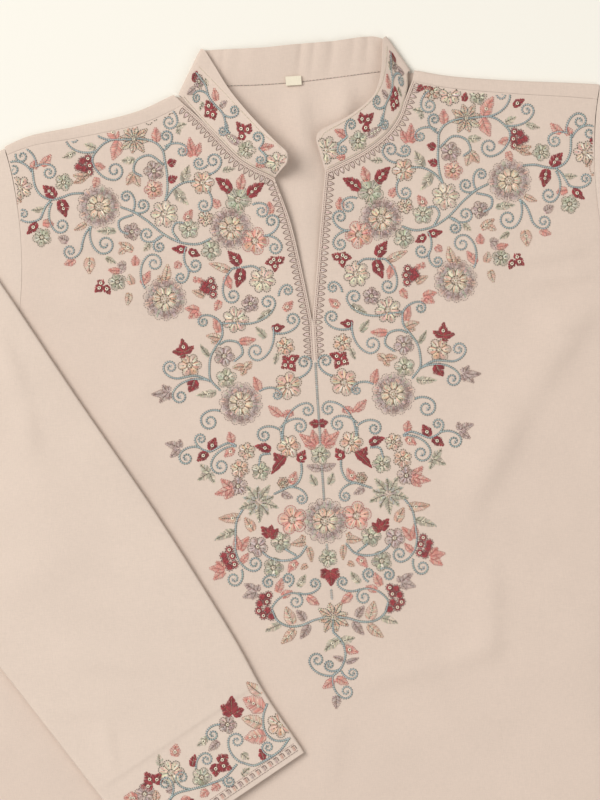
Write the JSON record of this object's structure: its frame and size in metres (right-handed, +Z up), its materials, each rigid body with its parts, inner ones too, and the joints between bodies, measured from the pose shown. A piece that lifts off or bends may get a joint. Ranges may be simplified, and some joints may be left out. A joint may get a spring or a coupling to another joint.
{
  "type": "embroidered kurta",
  "caption": "Long-sleeved kurta laid flat on its back, with a band collar, a slit neck and one sleeve turned over across the front",
  "frame": {"origin": "middle of the laid garment's box, on the surface it lies on", "axes": "+X across the garment towards the side of the laid-out sleeve, +Y up the garment towards the neck, +Z up off the surface and out of the front"},
  "size_m": [0.9714, 1.111, 0.0225],
  "materials": {
    "cloth": "smooth crepe with a soft sheen",
    "tab": "woven tape"
  },
  "bodies": {
    "root": {"back": "cloth", "front": "cloth", "sleeve_left": "cloth", "sleeve_right": "cloth", "collar": "cloth", "size_tab": "tab"}
  },
  "joints": []
}
